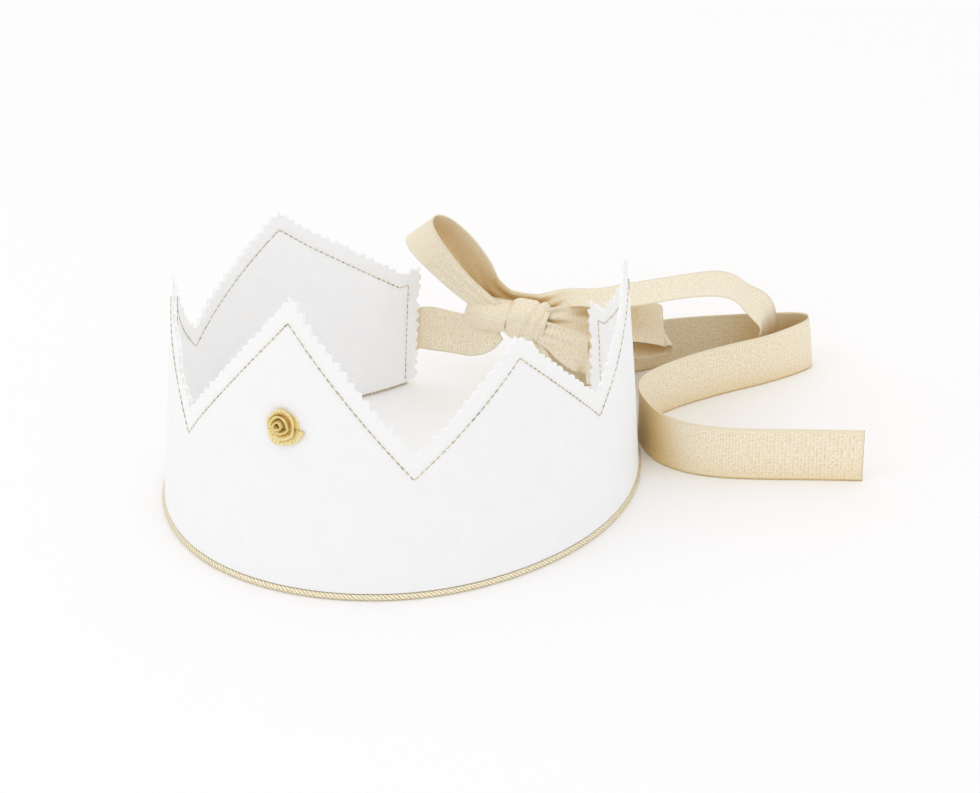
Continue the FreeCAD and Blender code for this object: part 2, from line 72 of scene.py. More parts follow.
# %% The base line and the leaning wall
FRONT_AT = 77.0
LEFT_BENDS = ((46.0, 71.0), (55.5, 92.0), (78.0, 67.0), (math.inf, -106.0))
RIGHT_BENDS = ((64.7, 74.3), (122.7, 106.0), (math.inf, 44.0))
LEAN = math.radians(4)


def base_place(along):
    """Give the base line's x, y and heading at a distance from the front centre, all in millimetres."""
    sign = 1 if along >= 0 else -1
    x, y, heading = 0.0, -FRONT_AT, 0.0
    left = abs(along)
    for length, bend in RIGHT_BENDS if along >= 0 else LEFT_BENDS:
        step = min(left, length)
        turned = heading + sign * step / bend
        x += bend * (math.sin(turned) - math.sin(heading))
        y += bend * (math.cos(heading) - math.cos(turned))
        heading = turned
        left -= step
    return x, y, heading


def on_wall(along, height, outward=0.0):
    """Seat a pattern point on the wall. outward is the distance from the cloth's middle, out of the crown."""
    x, y, heading = base_place(along)
    inwards = Vector((-math.sin(heading), math.cos(heading), 0))
    return Vector((x, y, height * math.cos(LEAN))) + inwards * (height * math.sin(LEAN) - outward)


def wall_axes(along):
    """Give the directions along the band, up the cloth and out of the crown."""
    heading = base_place(along)[2]
    along_band = Vector((math.cos(heading), math.sin(heading), 0))
    inwards = Vector((-math.sin(heading), math.cos(heading), 0))
    up_cloth = Vector((0, 0, math.cos(LEAN))) + inwards * math.sin(LEAN)
    return along_band, up_cloth, along_band.cross(up_cloth)


# %% The stitch line and the pinked outline
VALLEY_HEIGHT = 42.5
SEAM_MARGIN = 6.0
END_FLAT = 4.0
PINK_PITCH, PINK_DEPTH = 4.0, 1.5
LEFT_VALLEY = -216.0
POINTS = (
    # width, tip height, tip shift
    (93.0, 76.0, 2.0),
    (75.0, 77.5, 0.0),
    (93.0, 95.5, 3.0),
    (83.0, 77.5, 0.0),
    (84.0, 76.0, 1.5),
)


def stitch_corners():
    """Give the stitch line's corners, from the left end's foot to the right end's foot."""
    along = LEFT_VALLEY
    corners = [(along - END_FLAT, 0.0), (along - END_FLAT, VALLEY_HEIGHT), (along, VALLEY_HEIGHT)]
    for width, height, shift in POINTS:
        corners.append((along + width / 2 + shift, height))
        along += width
        corners.append((along, VALLEY_HEIGHT))
    return corners + [(along + END_FLAT, VALLEY_HEIGHT), (along + END_FLAT, 0.0)]


def moved_out(corners, distance):
    """Move a line outwards, keeping its corners mitred."""
    normals = []
    for (a0, h0), (a1, h1) in zip(corners, corners[1:]):
        length = math.hypot(a1 - a0, h1 - h0)
        normals.append((-(h1 - h0) / length, (a1 - a0) / length))
    line = [(corners[0][0] + normals[0][0] * distance, corners[0][1])]
    for n0, n1, corner in zip(normals, normals[1:], corners[1:]):
        share = distance / (1 + n0[0] * n1[0] + n0[1] * n1[1])
        line.append((corner[0] + (n0[0] + n1[0]) * share, corner[1] + (n0[1] + n1[1]) * share))
    return line + [(corners[-1][0] + normals[-1][0] * distance, corners[-1][1])]


def pinked(corners):
    """Cut teeth along a line, as pinking shears do. The hand that cuts makes them a little uneven."""
    teeth_line = []
    for (a0, h0), (a1, h1) in zip(corners, corners[1:]):
        length = math.hypot(a1 - a0, h1 - h0)
        teeth = round(length / PINK_PITCH)
        for step in range(2 * teeth):
            uneven = noise.noise(Vector((a0 + 7.3 * step, h0, 2.2)))
            share = (step + (0.35 * uneven if step else 0.0)) / (2 * teeth)
            bite = (PINK_DEPTH if step % 2 else 0.0) + (0.9 * uneven if step else 0.7)
            teeth_line.append((a0 + (a1 - a0) * share + (h1 - h0) / length * bite,
                               h0 + (h1 - h0) * share - (a1 - a0) / length * bite))
    return teeth_line + [corners[-1]]


STITCHES = stitch_corners()
EDGE = moved_out(STITCHES, SEAM_MARGIN)


def outside_stitches(along, height):
    """Give how far a pattern point lies outside the stitch line, in millimetres, negative inside it."""
    nearest = math.inf
    top = -1.0
    for (a0, h0), (a1, h1) in zip(STITCHES, STITCHES[1:]):
        run, rise = a1 - a0, h1 - h0
        share = ((along - a0) * run + (height - h0) * rise) / (run * run + rise * rise)
        share = min(1.0, max(0.0, share))
        nearest = min(nearest, math.hypot(along - a0 - share * run, height - h0 - share * rise))
        if run and a0 <= along <= a1:
            top = h0 + rise * (along - a0) / run
    return nearest if height > top else -nearest


print("stitch line corners:", len(STITCHES), "pinked edge, mm:", round(EDGE[0][0]), "to", round(EDGE[-1][0]))

# %% [markdown]
# ## Colours and node helpers
# Colours are written as a paint chart would give them, in sRGB, and one function turns them to the linear
# values that the shader wants. One more function adds a node, sets it and links it.

# %% Colour and node helpers
# A wave texture at scale 1 repeats every 0.314 units, so this over a spacing in millimetres is its scale.
WAVE_REPEAT = 0.314


def linear(hex_colour):
    """Turn an sRGB hex colour to linear red, green, blue and alpha."""
    values = []
    for start in (1, 3, 5):
        part = int(hex_colour[start:start + 2], 16) / 255
        values.append(part / 12.92 if part <= 0.04045 else ((part + 0.055) / 1.055) ** 2.4)
    return (*values, 1.0)


def add_node(owner, kind, settings=None, links=None):
    """Add a node to a material or the world. settings are its properties and socket values, and links its
    inputs with what feeds them.
    """
    node = owner.node_tree.nodes.new(kind)
    for name, value in (settings or {}).items():
        if isinstance(name, int) or name in node.inputs:
            node.inputs[name].default_value = value
        else:
            setattr(node, name, value)
    for name, source in (links or {}).items():
        owner.node_tree.links.new(source, node.inputs[name])
    return node


def new_material(name, roughness, settings=None):
    """Start a material and return it with its shader."""
    material = bpy.data.materials.new(name)
    material.use_nodes = True
    shader = material.node_tree.nodes["Principled BSDF"]
    shader.inputs["Roughness"].default_value = roughness
    for socket, value in (settings or {}).items():
        shader.inputs[socket].default_value = value
    return material, shader


def link(owner, source, target):
    """Join two sockets."""
    owner.node_tree.links.new(source, target)


# %% [markdown]
# ## Cotton canvas
# Plain woven cotton, bleached white: rough, with a soft sheen from its fibre ends. Its threads lie about
# 0.5 mm apart. That is finer than a pixel here, so the weave is drawn at 1.1 mm, shallow. The margin outside
# the stitching has no stiffener behind it, so it gets a tone of its own, and the seam is drawn in a little.

# %% Canvas material
THREAD_MM = 1.1


def canvas(name, cloth, shade, margin):
    """Make bleached canvas. The colours are the cloth's two thread tones and the loose margin's."""
    material, shader = new_material(name, 0.9, {"Sheen Weight": 0.15, "Sheen Roughness": 0.6})
    pattern = add_node(material, "ShaderNodeUVMap", {"uv_map": "pattern_mm"})
    warp = add_node(material, "ShaderNodeTexWave", {
        "wave_type": "BANDS", "bands_direction": "X", "Scale": WAVE_REPEAT / THREAD_MM, "Distortion": 0.6,
        "Detail": 1.0, "Detail Scale": 0.6}, {"Vector": pattern.outputs[0]})
    weft = add_node(material, "ShaderNodeTexWave", {
        "wave_type": "BANDS", "bands_direction": "Y", "Scale": WAVE_REPEAT / THREAD_MM, "Distortion": 0.6,
        "Detail": 1.0, "Detail Scale": 0.6}, {"Vector": pattern.outputs[0]})
    weave = add_node(material, "ShaderNodeMath", {"operation": "MULTIPLY"},
                     {0: warp.outputs["Fac"], 1: weft.outputs["Fac"]})
    slubs = add_node(material, "ShaderNodeTexNoise", {"Scale": 0.12, "Detail": 3.0},
                     {"Vector": pattern.outputs[0]})
    tone = add_node(material, "ShaderNodeMapRange", {"From Min": 0.35, "From Max": 0.7},
                    {"Value": slubs.outputs["Fac"]})
    body = add_node(material, "ShaderNodeMix", {"data_type": "RGBA", 6: linear(cloth), 7: linear(shade)},
                    {"Factor": tone.outputs[0]})
    seam = add_node(material, "ShaderNodeAttribute", {"attribute_name": "outside_mm"})
    loose = add_node(material, "ShaderNodeMapRange", {"From Min": 0.0, "From Max": 1.5},
                     {"Value": seam.outputs["Fac"]})
    dressed = add_node(material, "ShaderNodeMix", {"data_type": "RGBA", 7: linear(margin)},
                       {"Factor": loose.outputs[0], 6: body.outputs[2]})
    link(material, dressed.outputs[2], shader.inputs["Base Color"])
    from_seam = add_node(material, "ShaderNodeMath", {"operation": "ABSOLUTE"}, {0: seam.outputs["Fac"]})
    pulled = add_node(material, "ShaderNodeMapRange", {"From Max": 1.6, "To Min": -1.0, "To Max": 0.0},
                      {"Value": from_seam.outputs[0]})
    thread_bump = add_node(material, "ShaderNodeBump", {"Strength": 0.25, "Distance": 0.0001},
                           {"Height": weave.outputs[0]})
    seam_bump = add_node(material, "ShaderNodeBump", {"Strength": 0.5, "Distance": 0.0004},
                         {"Height": pulled.outputs[0], "Normal": thread_bump.outputs[0]})
    link(material, seam_bump.outputs[0], shader.inputs["Normal"])
    return material


# The lining is the same canvas as the outside, painted lighter to lift the shade that falls inside the crown.
OUTER_CANVAS = canvas("bleached cotton canvas, outside", "#F6F6F7", "#F4F4F5", "#F6F6F6")
LIGHTENED_LINING_CANVAS = canvas("bleached cotton canvas, lining, painted lighter", "#FDFDFD", "#FBFBFC", "#FCFCFC")

# %% [markdown]
# ## The cloth layers
# Each layer starts as a flat grid at the pattern's size. It gets the cloth's thickness, and a Boolean cuts it
# with the pinked outline, just as shears would. Only then is it bent onto the wall, so its threads run true.
# A gentle ripple keeps the cloth from looking machined, and both layers share it, so they never cross.

# %% Cutting and bending a layer
CLOTH_THICKNESS = 0.7
LAYER_MIDDLE = 0.75
CLOSING_MM = 3.0
PIPING_TOP = 2.35
OUTER_FOOT, LINING_FOOT = PIPING_TOP + 0.1, 1.4
GRID_MM = 3.5
RIBBON_WIDTH = 20.0
TUCK_MM, EXIT_HEIGHT = 8.0, 22.0


def only(piece):
    """Select one piece alone."""
    bpy.ops.object.select_all(action="DESELECT")
    piece.select_set(True)
    bpy.context.view_layer.objects.active = piece


def applied(piece, kind, **settings):
    """Add a modifier, set it and apply it."""
    only(piece)
    modifier = piece.modifiers.new(kind.title(), kind)
    for name, value in settings.items():
        setattr(modifier, name, value)
    bpy.ops.object.modifier_apply(modifier=modifier.name)


def cut_from_cloth(name, foot):
    """Cut a layer flat: a grid with the cloth's thickness, trimmed to the pinked outline."""
    left, right, tall = EDGE[0][0], EDGE[-1][0], max(height for _, height in EDGE)
    bpy.ops.object.select_all(action="DESELECT")
    bpy.ops.mesh.primitive_grid_add(
        x_subdivisions=round((right - left) / GRID_MM), y_subdivisions=round(tall / GRID_MM), size=1)
    layer = bpy.context.active_object
    layer.name = name
    for vertex in layer.data.vertices:
        x, y, _ = vertex.co
        vertex.co = Vector((left + (x + 0.5) * (right - left), foot + (y + 0.5) * (tall - foot), 0))
    applied(layer, "SOLIDIFY", thickness=CLOTH_THICKNESS, offset=0)
    outline = [(along, max(height, foot - 1)) for along, height in pinked(EDGE)]
    bpy.ops.object.select_all(action="DESELECT")
    bpy.ops.mesh.primitive_circle_add(vertices=len(outline), fill_type="NGON")
    shears = bpy.context.active_object
    for vertex, (along, height) in zip(shears.data.vertices, outline):
        vertex.co = Vector((along, height, 0))
    applied(shears, "SOLIDIFY", thickness=10 * CLOTH_THICKNESS, offset=0)
    applied(layer, "BOOLEAN", operation="INTERSECT", object=shears, solver="EXACT")
    bpy.data.objects.remove(shears)
    return layer


def layer_middle(along, height):
    """Give a layer's distance from the wall's middle. Outside the stitches the two layers lie together."""
    outside = min(1.0, max(0.0, outside_stitches(along, height) / CLOSING_MM))
    ribbon_side = min(along - EDGE[0][0], EDGE[-1][0] - along) - TUCK_MM
    ribbon_rise = abs(height - EXIT_HEIGHT) - RIBBON_WIDTH / 2
    held_open = 1.0 - min(1.0, max(0.0, max(ribbon_side, ribbon_rise) / CLOSING_MM))
    closed = outside * outside * (3 - 2 * outside) * (1.0 - held_open)
    return LAYER_MIDDLE + (CLOTH_THICKNESS / 2 + 0.02 - LAYER_MIDDLE) * closed


def ripple(along, height):
    """Give the cloth's soft unevenness, outwards, in millimetres."""
    loose = min(1.0, max(0.0, outside_stitches(along, height) / SEAM_MARGIN))
    slow = noise.noise(Vector((along / 38, height / 45, 0.3))) * 0.9 * min(1.0, height / 40)
    flutter = noise.noise(Vector((along / 7, height / 9, 4.1))) * 0.8 * loose
    return slow + flutter


def bend_to_wall(layer, side):
    """Note the pattern in the mesh, then seat every point on the wall."""
    if layer.data.uv_layers:
        layer.data.uv_layers.remove(layer.data.uv_layers[0])
    pattern = layer.data.uv_layers.new(name="pattern_mm")
    for loop in layer.data.loops:
        pattern.data[loop.index].uv = layer.data.vertices[loop.vertex_index].co.xy
    margin = layer.data.attributes.new("outside_mm", "FLOAT", "POINT")
    for vertex in layer.data.vertices:
        along, height, proud = vertex.co
        margin.data[vertex.index].value = outside_stitches(along, height)
        outward = side * layer_middle(along, height) + proud + ripple(along, height)
        vertex.co = on_wall(along, height, outward) * MM
    only(layer)
    bpy.ops.object.shade_smooth_by_angle(angle=math.radians(40))


def dress(piece, material, slot, *nodes):
    """Give a finished piece its material, and say what it replaces and rides on."""
    piece.data.materials.clear()
    piece.data.materials.append(material)
    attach(piece, "root")
    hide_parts(*nodes)


# %% The two layers
outer_cloth = cut_from_cloth("outer_cloth", OUTER_FOOT)
bend_to_wall(outer_cloth, 1)
dress(outer_cloth, OUTER_CANVAS, "white_canvas", "outer_panel")
lining_cloth = cut_from_cloth("lining_cloth", LINING_FOOT)
bend_to_wall(lining_cloth, -1)
dress(lining_cloth, LIGHTENED_LINING_CANVAS, "white_canvas", "lining_panel")


for cloth in (outer_cloth, lining_cloth):
    print(cloth.name, "faces:", len(cloth.data.polygons))

# %% [markdown]
# ## Gold topstitching
# A metallic thread, gold with dark flecks, runs along the points 6 mm inside the pinked edge. Each stitch is
# modelled once, as a bead drawn out and bent down into the cloth at its ends, and copied along the line on
# both faces. That costs few faces and catches the light as real stitches do.

# %% Thread material and the stitches
STITCH_MM, STITCH_GAP_MM, THREAD_WIDTH_MM = 2.3, 0.15, 0.36


def gold_thread():
    """Make metallic sewing thread: foil-wrapped yarn, gold with darker flecks where its plies turn."""
    material, shader = new_material("gold metallic thread", 0.42, {"Metallic": 0.35})
    place = add_node(material, "ShaderNodeTexCoord")
    flecks = add_node(material, "ShaderNodeTexNoise", {"Scale": 900.0, "Detail": 2.0},
                      {"Vector": place.outputs["Object"]})
    ramp = add_node(material, "ShaderNodeValToRGB", {}, {"Fac": flecks.outputs["Fac"]})
    ramp.color_ramp.elements[0].position = 0.38
    ramp.color_ramp.elements[0].color = linear("#9C8346")
    ramp.color_ramp.elements[1].position = 0.6
    ramp.color_ramp.elements[1].color = linear("#DCC894")
    link(material, ramp.outputs["Color"], shader.inputs["Base Color"])
    return material


def one_stitch():
    """Model a stitch: a small sphere drawn out, its ends bent down."""
    bpy.ops.object.select_all(action="DESELECT")
    bpy.ops.mesh.primitive_uv_sphere_add(segments=6, ring_count=6, radius=0.5, rotation=(0, math.pi / 2, 0))
    stitch = bpy.context.active_object
    bpy.ops.object.transform_apply(location=False, rotation=True, scale=False)
    bpy.ops.object.mode_set(mode="EDIT")
    bpy.ops.transform.resize(value=(STITCH_MM, THREAD_WIDTH_MM, THREAD_WIDTH_MM * 0.7))
    bpy.ops.object.mode_set(mode="OBJECT")
    for vertex in stitch.data.vertices:
        vertex.co.z -= 0.2 * (2 * vertex.co.x / STITCH_MM) ** 4
    return stitch


def stitch_seats():
    """Give each stitch's place and slope along the stitch line."""
    seats = []
    for (a0, h0), (a1, h1) in zip(STITCHES, STITCHES[1:]):
        length = math.hypot(a1 - a0, h1 - h0)
        count = max(1, round(length / (STITCH_MM + STITCH_GAP_MM)))
        for number in range(count):
            share = (number + 0.5) / count
            seats.append((a0 + (a1 - a0) * share, h0 + (h1 - h0) * share, math.atan2(h1 - h0, a1 - a0)))
    return [seat for seat in seats if seat[1] > PIPING_TOP + STITCH_MM / 2]


def copied(master, name, seats):
    """Copy a master's mesh to every seat and join the copies in one new piece. The master goes."""
    points = [vertex.co.copy() for vertex in master.data.vertices]
    faces = [tuple(face.vertices) for face in master.data.polygons]
    all_points, all_faces = [], []
    for seat in seats:
        first = len(all_points)
        all_points += [seat @ point for point in points]
        all_faces += [tuple(first + corner for corner in face) for face in faces]
    mesh = bpy.data.meshes.new(name)
    mesh.from_pydata(all_points, [], all_faces)
    piece = bpy.data.objects.new(name, mesh)
    bpy.context.collection.objects.link(piece)
    bpy.data.objects.remove(master)
    return piece


def seat_matrix(along, height, slope, outward, flip):
    """Turn a stitch to lie along the line on one face of the wall."""
    along_band, up_cloth, out = wall_axes(along)
    forward = along_band * math.cos(slope) + up_cloth * math.sin(slope)
    out = out * flip
    side = out.cross(forward)
    place = on_wall(along, height, outward + ripple(along, height))
    turn = Matrix((forward, side, out)).transposed().to_4x4()
    return Matrix.Diagonal((MM, MM, MM, 1)) @ Matrix.Translation(place) @ turn


FACE_AT = LAYER_MIDDLE + CLOTH_THICKNESS / 2 + 0.05
seats = [seat_matrix(*seat, side * FACE_AT, side) for side in (1, -1) for seat in stitch_seats()]
top_stitching = copied(one_stitch(), "top_stitching", seats)
only(top_stitching)
bpy.ops.object.shade_smooth()
top_stitching.data.materials.append(gold_thread())
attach(top_stitching, "root")
print("stitches:", len(seats))

# %% [markdown]
# ## Rolling a grid
# Piping, the rose, the ribbons and the knot are all one flat piece of cloth rolled, wound or bent. So each
# starts as a grid primitive, and a function of its own says where a point at share u of its length and share
# v of its width goes. The pattern is noted in millimetres, for the weave.

# %% The grid helper


def laid_grid(name, columns, rows, place, size_mm, closed=False, turned=False):
    """Add a grid and lay it out by place(u, v). size_mm is its real length and width, for the weave.

    A turned grid is ribbon that runs across the grid, so its pattern is turned too.
    """
    bpy.ops.object.select_all(action="DESELECT")
    bpy.ops.mesh.primitive_grid_add(x_subdivisions=columns, y_subdivisions=rows, size=1, calc_uvs=False)
    piece = bpy.context.active_object
    piece.name = name
    shares = [(vertex.co.x + 0.5, vertex.co.y + 0.5) for vertex in piece.data.vertices]
    pattern = piece.data.uv_layers.new(name="pattern_mm")
    length, width = size_mm
    for loop in piece.data.loops:
        u, v = shares[loop.vertex_index]
        pattern.data[loop.index].uv = (v * length, u * width) if turned else (u * length, v * width)
    for vertex, (u, v) in zip(piece.data.vertices, shares):
        vertex.co = place(u, v) * MM
    if closed:
        only(piece)
        bpy.ops.object.mode_set(mode="EDIT")
        bpy.ops.mesh.select_all(action="SELECT")
        bpy.ops.mesh.remove_doubles(threshold=0.02 * MM)
        bpy.ops.mesh.normals_make_consistent(inside=False)
        bpy.ops.object.mode_set(mode="OBJECT")
    only(piece)
    bpy.ops.object.shade_smooth()
    return piece


def joined(name, pieces):
    """Join pieces in one, with the first one's name changed."""
    bpy.ops.object.select_all(action="DESELECT")
    for piece in pieces:
        piece.select_set(True)
    bpy.context.view_layer.objects.active = pieces[0]
    bpy.ops.object.join()
    pieces[0].name = name
    return pieces[0]


# %% [markdown]
# ## Gold piping
# A cord wrapped in gold braid fills the bottom edge. Its wrap shows as fine ribs across the cord, 0.75 mm
# apart here, so the tube swells and pinches along its length. Its flange is the flat tape that the
# seam holds between the layers.

# %% Piping
PIPING_RADIUS, PIPING_Z, PIPING_OUT = 1.2, 1.05, 0.6
FLANGE_TOP, FLANGE_THICKNESS = 8.3, 0.4
RIB_MM = 0.75
PIPE_LEFT, PIPE_RIGHT = EDGE[0][0] + SEAM_MARGIN / 2, EDGE[-1][0] - SEAM_MARGIN / 2
PIPE_LENGTH = PIPE_RIGHT - PIPE_LEFT
RINGS = round(PIPE_LENGTH / RIB_MM) * 2


def piping_place(u, v):
    """Seat a point of the rolled tube, ribbed along its length."""
    along = PIPE_LEFT + PIPE_LENGTH * u
    rib = 1 if round(u * RINGS) % 2 else 0.9
    close = min(1.0, 12 * min(u, 1 - u) * RINGS / 40)
    angle = 2 * math.pi * v
    middle = on_wall(along, 0, PIPING_OUT) + Vector((0, 0, PIPING_Z))
    out = wall_axes(along)[2].to_2d().to_3d().normalized()
    radius = PIPING_RADIUS * rib * close
    point = middle + out * (radius * math.cos(angle)) + Vector((0, 0, radius * math.sin(angle)))
    point.z = max(point.z, 0.0)
    return point


def flange_place(u, v):
    """Seat a point of the flange between the layers."""
    return on_wall(PIPE_LEFT + PIPE_LENGTH * u, PIPING_Z + (FLANGE_TOP - PIPING_Z) * v)


def piping_braid():
    """Make gold braid: foil yarn wound on a cord, with a painted highlight on its ribs and painted shade
    between them.
    """
    material, shader = new_material("gold braid", 0.4, {"Metallic": 0.4})
    pattern = add_node(material, "ShaderNodeUVMap", {"uv_map": "pattern_mm"})
    ribs = add_node(material, "ShaderNodeTexWave", {
        "bands_direction": "DIAGONAL", "Scale": WAVE_REPEAT / RIB_MM, "Distortion": 1.5, "Detail": 2.0},
        {"Vector": pattern.outputs[0]})
    specks = add_node(material, "ShaderNodeTexNoise", {"Scale": 1.3, "Detail": 2.0},
                      {"Vector": pattern.outputs[0]})
    both = add_node(material, "ShaderNodeMath", {"operation": "MULTIPLY_ADD", 1: 0.6},
                    {0: ribs.outputs["Fac"], 2: specks.outputs["Fac"]})
    # Painted highlight and shade: the colour follows the ribs, light on their tops and dark in the grooves,
    # with specks of tone mixed in.
    ramp = add_node(material, "ShaderNodeValToRGB", {}, {"Fac": both.outputs[0]})
    ramp.color_ramp.elements[0].position = 0.45
    ramp.color_ramp.elements[0].color = linear("#D2BC80")
    ramp.color_ramp.elements[1].position = 1.0
    ramp.color_ramp.elements[1].color = linear("#FAF4E2")
    link(material, ramp.outputs["Color"], shader.inputs["Base Color"])
    bump = add_node(material, "ShaderNodeBump", {"Strength": 0.4, "Distance": 0.0002},
                    {"Height": ribs.outputs["Fac"]})
    link(material, bump.outputs[0], shader.inputs["Normal"])
    return material


piping_size = (PIPE_LENGTH, 2 * math.pi * PIPING_RADIUS)
piping_cord = laid_grid("piping_cord", RINGS, 10, piping_place, piping_size, closed=True)
flange = laid_grid("flange", 120, 1, flange_place, (PIPE_LENGTH, FLANGE_TOP))
applied(flange, "SOLIDIFY", thickness=FLANGE_THICKNESS * MM, offset=0)
piping = joined("piping", [piping_cord, flange])
dress(piping, piping_braid(), "gold_piping", "base_piping")

# %% [markdown]
# ## Metallic ribbon
# The ties are woven from foil yarn: fine ribs run straight across, and a smooth selvedge binds each edge.
# Foil yarn is partly metal and partly pale thread, so it looks champagne where it sees the bright room.
# Inside its folds, where it sees other ribbon, it is painted a deep gold as shade: an ambient occlusion node
# finds those places. The ribs are finer than a pixel, so they are drawn 0.9 mm apart.

# %% Ribbon material
RIBBON_RIB_MM = 0.9


def woven_foil(name, pale, deep, edge, fold_shade_colour, width, metal):
    """Make foil ribbon: ribs across, a selvedge at each edge, and a deeper gold painted into its folds as
    shade.
    """
    material, shader = new_material(name, 0.45, {"Metallic": metal, "Sheen Weight": 0.2})
    pattern = add_node(material, "ShaderNodeUVMap", {"uv_map": "pattern_mm"})
    ribs = add_node(material, "ShaderNodeTexWave", {
        "bands_direction": "X", "Scale": WAVE_REPEAT / RIBBON_RIB_MM, "Distortion": 0.5, "Detail": 1.0},
        {"Vector": pattern.outputs[0]})
    threads = add_node(material, "ShaderNodeTexWave", {
        "bands_direction": "Y", "Scale": WAVE_REPEAT / RIBBON_RIB_MM, "Distortion": 1.2, "Detail": 1.0},
        {"Vector": pattern.outputs[0]})
    flecks = add_node(material, "ShaderNodeTexNoise", {"Scale": 1.1, "Detail": 3.0, "Roughness": 0.7},
                      {"Vector": pattern.outputs[0]})
    weave = add_node(material, "ShaderNodeMath", {"operation": "MULTIPLY"},
                     {0: ribs.outputs["Fac"], 1: threads.outputs["Fac"]})
    mixed = add_node(material, "ShaderNodeMath", {"operation": "MULTIPLY_ADD", 1: 0.35},
                     {0: weave.outputs[0], 2: flecks.outputs["Fac"]})
    ramp = add_node(material, "ShaderNodeValToRGB", {}, {"Fac": mixed.outputs[0]})
    ramp.color_ramp.elements[0].position = 0.4
    ramp.color_ramp.elements[0].color = linear(deep)
    ramp.color_ramp.elements[1].position = 0.62
    ramp.color_ramp.elements[1].color = linear(pale)
    split = add_node(material, "ShaderNodeSeparateXYZ", {}, {"Vector": pattern.outputs[0]})
    off_middle = add_node(material, "ShaderNodeMath", {"operation": "SUBTRACT", 1: width / 2},
                          {0: split.outputs["Y"]})
    to_edge = add_node(material, "ShaderNodeMath", {"operation": "ABSOLUTE"}, {0: off_middle.outputs[0]})
    selvedge = add_node(material, "ShaderNodeMapRange", {
        "From Min": width / 2 - 1.3, "From Max": width / 2 - 0.9}, {"Value": to_edge.outputs[0]})
    bound = add_node(material, "ShaderNodeMix", {"data_type": "RGBA", 7: linear(edge)},
                     {"Factor": selvedge.outputs[0], 6: ramp.outputs["Color"]})
    # Painted shade: where other ribbon closes round a point, the colour is mixed toward the deep fold gold.
    open_sky = add_node(material, "ShaderNodeAmbientOcclusion", {"samples": 6, "Distance": 0.02})
    fold_shade_mask = add_node(material, "ShaderNodeMapRange", {
        "From Min": 0.7, "From Max": 0.15, "To Min": 0.0, "To Max": 1.0}, {"Value": open_sky.outputs["AO"]})
    folded = add_node(material, "ShaderNodeMix", {"data_type": "RGBA", 7: linear(fold_shade_colour)},
                      {"Factor": fold_shade_mask.outputs[0], 6: bound.outputs[2]})
    link(material, folded.outputs[2], shader.inputs["Base Color"])
    bump = add_node(material, "ShaderNodeBump", {"Strength": 0.35, "Distance": 0.00025},
                    {"Height": weave.outputs[0]})
    link(material, bump.outputs[0], shader.inputs["Normal"])
    return material


# The last gold given is painted shade, mixed in inside the folds.
TIE_RIBBON = woven_foil("champagne foil ribbon", "#F8EFDB", "#E4D1A5", "#F1E5CA", "#E3C27C",
                         RIBBON_WIDTH, 0.2)

# %% [markdown]
# ## Ribbon routes
# A ribbon keeps its width. Where the bow squeezes it, it gathers in pleats, so its cross-section becomes a
# wave whose length is still the full width. Each station of a route gives the ribbon's middle, the direction
# across it and the width that the bow leaves it, in millimetres, as in the solid model.

# %% Routes
RIBBON_THICKNESS = 0.4
EXIT_RUN_MM, EXIT_WIDTH = 2.0, 17.5


def tucked(alongs):
    """Give stations that follow the wall's middle, where a tie is held between the layers."""
    stations = []
    for along in alongs:
        up_cloth = wall_axes(along)[1]
        stations.append((*on_wall(along, EXIT_HEIGHT), *up_cloth, EXIT_WIDTH))
    return stations


LEFT_END, RIGHT_END = EDGE[0][0], EDGE[-1][0]
LEFT_TIE = tucked((LEFT_END + TUCK_MM, LEFT_END + TUCK_MM / 2, LEFT_END, LEFT_END - EXIT_RUN_MM)) + [
    (-21.5, 93.0, 21.7, 0.00, 0.05, 1.00, 17.5),
    (-14.5, 93.3, 21.5, 0.00, 0.00, 1.00, 17.3),
    (-7.0, 92.0, 22.0, 0.05, 0.00, 1.00, 16.5),
    (-0.5, 90.8, 24.0, 0.15, 0.00, 1.00, 14.0),
    (4.5, 91.0, 27.5, 0.30, 0.00, 0.95, 10.0),
]
STANDING_LOOP = [
    (6.0, 90.5, 33.0, 0.60, -0.20, 0.75, 9.0),
    (0.5, 88.6, 37.5, 0.66, -0.26, 0.70, 11.0),
    (-8.0, 87.0, 44.2, 0.70, -0.33, 0.63, 14.0),
    (-16.0, 85.9, 52.0, 0.71, -0.35, 0.61, 17.0),
    (-22.5, 86.3, 58.8, 0.71, -0.36, 0.61, 19.5),
    (-25.6, 88.6, 62.8, 0.71, -0.36, 0.61, 20.0),
    (-24.3, 92.2, 64.2, 0.71, -0.36, 0.61, 20.0),
    (-19.5, 94.9, 62.0, 0.71, -0.36, 0.61, 20.0),
    (-12.5, 96.3, 56.0, 0.71, -0.36, 0.61, 20.0),
    (-6.5, 96.8, 48.0, 0.68, -0.25, 0.68, 18.5),
    (-2.2, 97.4, 40.0, 0.50, -0.12, 0.85, 15.5),
    (5.5, 99.0, 34.2, 0.15, 0.00, 1.00, 13.0),
    (17.0, 99.8, 33.5, 0.00, 0.00, 1.00, 13.0),
]
